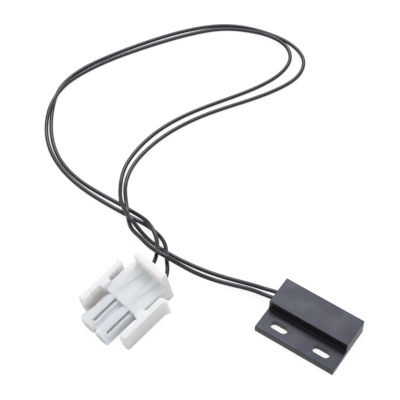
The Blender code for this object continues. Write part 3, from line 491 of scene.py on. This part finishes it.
def strand_tree():
    """Seven wires twisted together along each curve."""
    sizes = dict.fromkeys(("Wire Radius", "Lay", "Step"), "NodeSocketFloat")
    tree, given, result = new_tree("strands_along_path", sizes)
    even = add_node(tree, "GeometryNodeResampleCurve", {"mode": "LENGTH"}, {
        "Curve": given.outputs["Geometry"], "Length": given.outputs["Step"],
    })
    parameter = add_node(tree, "GeometryNodeSplineParameter")
    turns = add_node(tree, "ShaderNodeMath", {"operation": "DIVIDE"}, {
        0: parameter.outputs["Length"], 1: given.outputs["Lay"],
    })
    angle = add_node(tree, "ShaderNodeMath", {"operation": "MULTIPLY"}, {
        0: turns.outputs[0], 1: math.tau,
    })
    path = add_node(tree, "GeometryNodeSetCurveTilt", None, {
        "Curve": even.outputs[0], "Tilt": angle.outputs[0],
    })
    ring_radius = add_node(tree, "ShaderNodeMath", {"operation": "MULTIPLY"}, {
        0: given.outputs["Wire Radius"], 1: RING_SHARE,
    })
    ring = add_node(tree, "GeometryNodeCurvePrimitiveCircle", {"mode": "RADIUS"}, {
        "Resolution": OUTER_WIRES, "Radius": ring_radius.outputs[0],
    })
    ring_places = add_node(tree, "GeometryNodeCurveToPoints", {"mode": "EVALUATED"}, {
        0: ring.outputs[0],
    })
    core_place = add_node(tree, "GeometryNodePoints", None, {"Count": 1})
    places = add_node(tree, "GeometryNodeJoinGeometry")
    tree.links.new(ring_places.outputs[0], places.inputs[0])
    tree.links.new(core_place.outputs[0], places.inputs[0])
    wire = add_node(tree, "GeometryNodeCurvePrimitiveCircle", {"mode": "RADIUS"}, {
        "Resolution": WIRE_SIDES, "Radius": given.outputs["Wire Radius"],
    })
    wires = add_node(tree, "GeometryNodeInstanceOnPoints", None, {
        "Points": places.outputs[0], "Instance": wire.outputs[0],
    })
    profile = add_node(tree, "GeometryNodeRealizeInstances", None, {0: wires.outputs[0]})
    return finish_tree(tree, given, result, path, profile)


STRANDS = strand_tree()
print("Strand tree has", len(STRANDS.nodes), "nodes")

# %% [markdown]
# Inside the housing the bare strands run from each sheath's end into a solder joint. In the
# plug they run through the wire crimp of each contact. The same tree makes all four, each
# along a straight path of two points.

# %% Stranded ends at the sensor and in the plug
STRAND_SIZES = {
    "Wire Radius": 0.097 * MM, "Lay": 5.0 * MM, "Step": 0.2 * MM, "Finish": TINNED_COPPER,
}
STRAND_ENDS = {
    "sensor_strands_a": [Vector((x, LEAD_A_Y, EXIT_Z)) * MM for x in (-8.8, -6.1)],
    "sensor_strands_b": [Vector((x, LEAD_B_Y, EXIT_Z)) * MM for x in (6.2, 8.9)],
    "plug_strands_a": [plug_point(CIRCUIT_SIDE, forward) for forward in STRAND_STEPS],
    "plug_strands_b": [plug_point(-CIRCUIT_SIDE, forward) for forward in STRAND_STEPS],
}
twisted = {}
for node, ends in STRAND_ENDS.items():
    straight = path_object(node + "_path", ends)
    twisted[node] = grow("twisted_" + node, straight, STRANDS, STRAND_SIZES)
    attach(twisted[node], "switch")
    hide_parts(node)
    print(node, "is now", len(twisted[node].data.polygons), "faces of twisted wire")

# %% [markdown]
# Both leads run 385 mm and 404 mm between their stripped ends, with the plug, its contacts and
# its strands on the far end.

print("Two leads run from the housing to the plug")

# %% [markdown]
# ## Black housing
#
# The housing is injection moulded in glass filled PBT. Such a moulding copies the spark
# eroded steel of its mould: a fine, even grain, a satin sheen under a soft lamp and slow
# changes of gloss where the melt cooled unevenly. Real grain is about 0.05 mm and is drawn
# at 0.25 mm, so that it shows as a faint speckle.

# %% Moulded PBT


def moulded_pbt():
    """Satin black plastic with mould grain and slow changes of gloss."""
    made, tree, shader = new_material("moulded_pbt_black", {
        "IOR": 1.46, "Specular Tint": linear("e4e8ff"),
    })
    cloud = noise(tree, width=6.0)
    grain = noise(tree, width=0.25, rough=0.6)
    tree.links.new(tone(tree, cloud, "131314", "1a1a1c"), shader.inputs["Base Color"])
    gloss = spread(tree, cloud, low=0.33, high=0.43, source=(0.3, 0.7))
    tree.links.new(gloss, shader.inputs["Roughness"])
    relief(tree, shader, grain, strength=0.3, depth=0.03)
    return made


def dress(name, finish):
    """Give a CAD node its finish, on the object's own material slot."""
    place = nodes[name].material_slots[0]
    place.link = "OBJECT"
    place.material = finish


PBT = moulded_pbt()
dress("housing", PBT)
print("Made", PBT.name)

# %% [markdown]
# ## Potting resin
#
# The pocket inside the block, open where the leads come out, is filled with black epoxy. It
# was poured, so it is glossier than the moulding and only slightly uneven where it drew back
# as it cured.

# %% Poured epoxy


def poured_epoxy():
    """Glossy black resin with a slow ripple."""
    made, tree, shader = new_material("poured_epoxy_black", {"IOR": 1.54})
    ripple = noise(tree, width=1.6, detail=1.0)
    tree.links.new(tone(tree, ripple, "1c1c1e", "242427"), shader.inputs["Base Color"])
    tree.links.new(spread(tree, ripple, low=0.12, high=0.24), shader.inputs["Roughness"])
    relief(tree, shader, ripple, strength=0.5, depth=0.08)
    return made


EPOXY = poured_epoxy()
dress("potting_resin", EPOXY)
print("Made", EPOXY.name)

# %% [markdown]
# ## White plug
#
# The plug is moulded in natural polyamide, which has no pigment. Light goes a millimetre or
# two into it before it comes back, so thin walls look brighter and edges softer, with a
# faint blue cast on top and a warm grey underneath. Subsurface scattering gives this; its
# scale of 2.8 mm is about how far light travels in such a wall.

# %% Natural polyamide


def natural_polyamide():
    """Milky translucent plastic with faint clouds and mould grain."""
    made, tree, shader = new_material("natural_polyamide", {
        "IOR": 1.50, "Subsurface Weight": 1.0, "Subsurface Scale": 2.8 * MM,
        "Subsurface Radius": (1.5, 1.2, 1.0),
    })
    cloud = noise(tree, width=4.0)
    grain = noise(tree, width=0.3, rough=0.6)
    tree.links.new(tone(tree, cloud, "e5e6e8", "edeeef"), shader.inputs["Base Color"])
    gloss = spread(tree, cloud, low=0.5, high=0.64, source=(0.3, 0.7))
    tree.links.new(gloss, shader.inputs["Roughness"])
    relief(tree, shader, grain, strength=0.25, depth=0.03)
    return made


POLYAMIDE = natural_polyamide()
dress("plug_housing", POLYAMIDE)
print("Made", POLYAMIDE.name)

# %% [markdown]
# ## Metals and glass
#
# The contacts are brass strip with a tin coat, stamped and rolled, so fine lines run along
# the strip. The reeds are a nickel and iron alloy, flattened and plated. Solder froze from
# a liquid, so it is smooth with slow dimples. The reed switch's tube is a soft green tinged
# glass that takes up infrared light when it is sealed. Metals keep the default IOR.

# %% Tin plated brass, reed alloy and solder
TINNED_BRASS = plated_metal(
    "tinned_brass", dark="cfcabb", bright="dedacb",
    lines_width=0.2, stretch=(1, 0.1, 1), roughness=0.30,
)
REED_ALLOY = plated_metal(
    "nickel_iron_reed", dark="b9b5ad", bright="cac6be",
    lines_width=0.15, stretch=(0.1, 1, 1), roughness=0.26,
)
SOLDER = plated_metal(
    "tin_solder", dark="c4c4c8", bright="d6d6da",
    lines_width=0.8, stretch=(1, 1, 1), roughness=0.24,
)
for name in ("contact_a", "contact_b"):
    dress(name, TINNED_BRASS)
for name in ("reed_blade_near", "reed_blade_far"):
    dress(name, REED_ALLOY)
for name in ("solder_joint_near", "solder_joint_far"):
    dress(name, SOLDER)
print("Dressed six metal nodes")

# %% Drawn glass


def drawn_glass():
    """Clear green tinged glass with the faint waves of a drawn tube."""
    made, tree, shader = new_material("drawn_reed_glass", {
        "Roughness": 0.03, "IOR": 1.50, "Transmission Weight": 1.0,
    })
    waves = noise(tree, width=1.0, detail=1.0, stretch=(0.2, 1, 1))
    tree.links.new(tone(tree, waves, "c6e2d0", "d4ecdc"), shader.inputs["Base Color"])
    relief(tree, shader, waves, strength=0.2, depth=0.02)
    return made


GLASS = drawn_glass()
dress("reed_glass", GLASS)
print("Made", GLASS.name)

# %% [markdown]
# ## Floor, world and lamps
#
# The photograph has a plain white ground with hardly a shadow. The floor is a pale card that
# keeps the object's shadow. To the camera, and in mirrors and glass, it also glows a little,
# so that it reads as white without more light on the object. The world does the same.

# %% Floor and world
FLOOR_HALF = 3.0
FLOOR_DROP = 0.05 * MM
FLOOR_GLOW = 0.88
WORLD_LEVEL = 0.60


def seen_straight(tree):
    """One for camera, glossy and transmission rays, and nought for the rest."""
    path = add_node(tree, "ShaderNodeLightPath")
    first = add_node(tree, "ShaderNodeMath", {"operation": "MAXIMUM"}, {
        0: path.outputs["Is Camera Ray"], 1: path.outputs["Is Glossy Ray"],
    })
    both = add_node(tree, "ShaderNodeMath", {"operation": "MAXIMUM"}, {
        0: first.outputs[0], 1: path.outputs["Is Transmission Ray"],
    })
    return both.outputs[0]


def white_card():
    """Pale card that looks white and still takes a shadow."""
    made = bpy.data.materials.new("white_card")
    made.use_nodes = True
    tree = made.node_tree
    tree.nodes.clear()
    shown = add_node(tree, "ShaderNodeBsdfDiffuse", None, {"Color": linear("7c7c7c")})
    glow = add_node(tree, "ShaderNodeEmission", None, {
        "Color": linear("ffffff"), "Strength": FLOOR_GLOW,
    })
    lit = add_node(tree, "ShaderNodeAddShader", None, {0: shown.outputs[0], 1: glow.outputs[0]})
    plain = add_node(tree, "ShaderNodeBsdfDiffuse", None, {"Color": linear("e8e8e8")})
    mix = add_node(tree, "ShaderNodeMixShader", None, {
        0: seen_straight(tree), 1: plain.outputs[0], 2: lit.outputs[0],
    })
    add_node(tree, "ShaderNodeOutputMaterial", None, {"Surface": mix.outputs[0]})
    return made


def floor_mesh(half):
    """A flat square at the height that the housing stands on."""
    mesh = bpy.data.meshes.new("floor")
    corners = [(-half, -half, 0.0), (half, -half, 0.0), (half, half, 0.0), (-half, half, 0.0)]
    mesh.from_pydata(corners, [], [(0, 1, 2, 3)])
    mesh.materials.append(white_card())
    return mesh


floor = bpy.data.objects.new("floor", floor_mesh(FLOOR_HALF))
floor.location = (0, 0, -FLOOR_DROP)
bpy.context.scene.collection.objects.link(floor)

world = bpy.data.worlds.new("studio")
bpy.context.scene.world = world
world.use_nodes = True
world.node_tree.nodes.clear()
share = seen_straight(world.node_tree)
level = add_node(world.node_tree, "ShaderNodeMapRange", None, {
    "Value": share, "To Min": WORLD_LEVEL, "To Max": 1.0,
})
sky = add_node(world.node_tree, "ShaderNodeBackground", None, {
    "Color": linear("ffffff"), "Strength": level.outputs[0],
})
add_node(world.node_tree, "ShaderNodeOutputWorld", None, {"Surface": sky.outputs[0]})
print("World level for plain light:", WORLD_LEVEL)

# %% [markdown]
# A soft lamp stands behind the object, where its mirror image in the flat black tops
# reaches the camera. It gives them their grey sheen and the leads their highlight. A weaker
# one stands low at the front right and lights the faces that the first leaves dark.

# %% Lamps
LAMP_AIM = Vector((-50, 30, 5)) * MM


def softbox(name, azimuth, elevation, distance, size, watts):
    """A square area lamp that looks at the middle of the object."""
    lamp = bpy.data.lights.new(name, "AREA")
    lamp.shape = "SQUARE"
    lamp.size = size
    lamp.energy = watts
    away = Vector((
        math.sin(azimuth) * math.cos(elevation),
        -math.cos(azimuth) * math.cos(elevation),
        math.sin(elevation),
    ))
    made = bpy.data.objects.new(name, lamp)
    facing = away.to_track_quat("Z", "Y").to_matrix().to_4x4()
    made.matrix_world = Matrix.Translation(LAMP_AIM + away * distance) @ facing
    bpy.context.scene.collection.objects.link(made)


softbox(
    "key_softbox", azimuth=CAMERA_TURN + math.radians(180), elevation=math.radians(56),
    distance=0.9, size=0.45, watts=4.4,
)
softbox(
    "side_fill", azimuth=CAMERA_TURN + math.radians(25), elevation=math.radians(32),
    distance=1.0, size=0.7, watts=0.7,
)
bpy.context.scene.view_settings.view_transform = "Standard"
print("Lamps:", [item.name for item in bpy.data.lights])
